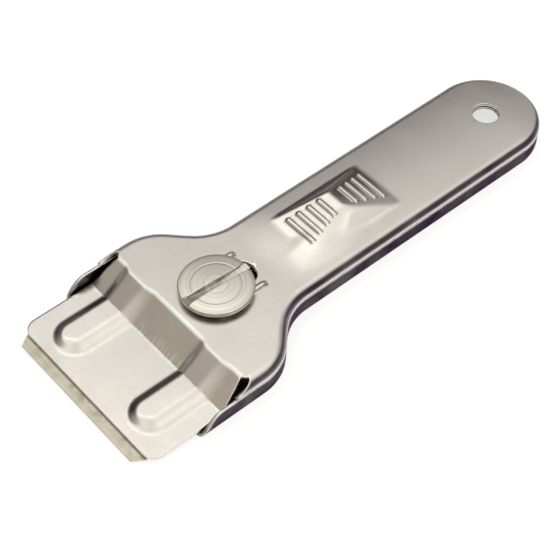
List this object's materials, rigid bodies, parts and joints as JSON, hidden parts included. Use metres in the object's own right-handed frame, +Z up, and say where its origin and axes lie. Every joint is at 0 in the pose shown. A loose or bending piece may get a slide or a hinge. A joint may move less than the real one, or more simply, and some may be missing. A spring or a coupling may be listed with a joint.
{
  "type": "razor blade scraper",
  "caption": "Flat hand scraper of two pressed steel shells that clamp a razor blade; a coin-slotted screw frees the carriage so that the blade slides back into the jaw.",
  "frame": {"origin": "middle of the bounding box at the underside, on the flat floor of the lower shell", "axes": "-X towards the blade's edge, +X towards the tail with the hang hole, +Z up out of the top face"},
  "size_m": [0.129, 0.0462, 0.0116],
  "materials": {
    "lower_plate": "satin nickel plate on pressed steel sheet",
    "upper_plate": "satin nickel plate on pressed steel sheet",
    "bare_sheet": "plain steel strip",
    "plated_steel": "turned steel, thin plate",
    "blade_steel": "ground and oiled carbon steel",
    "washer_steel": "dark steel",
    "screw_plate": "turned, nickel plated"
  },
  "bodies": {
    "base": {"lower_shell": "lower_plate"},
    "cover": {"upper_shell": "upper_plate"},
    "slider": {"carriage": "bare_sheet", "blade_pegs": "plated_steel", "blade": "blade_steel", "clamp_nut": "plated_steel"},
    "washer": {"washer": "washer_steel"},
    "screw": {"clamp_screw": "screw_plate"}
  },
  "joints": [
    {"name": "carriage_slide", "type": "slide", "parent": "base", "child": "slider", "axis": [1, 0, 0], "range_m": [0, 0.0056]},
    {"name": "screw_rise", "type": "slide", "parent": "slider", "child": "washer", "axis": [0, 0, 1], "range_m": [0, 0.002]},
    {"name": "screw_turn", "type": "hinge", "parent": "washer", "child": "screw", "pos_m": [-0.0276, 0, 0.0086], "axis": [0, 0, 1], "range_deg": [0, 720]},
    {"name": "cover_lift", "type": "hinge", "parent": "base", "child": "cover", "pos_m": [0.058, 0, 0.00668], "axis": [0, 1, 0], "range_deg": [0, 1.1]}
  ],
  "couplings": [
    {"joint": "screw_turn", "follows": "screw_rise", "rad_per_m": 6283.1},
    {"joint": "cover_lift", "follows": "screw_rise", "rad_per_m": 9.599}
  ]
}
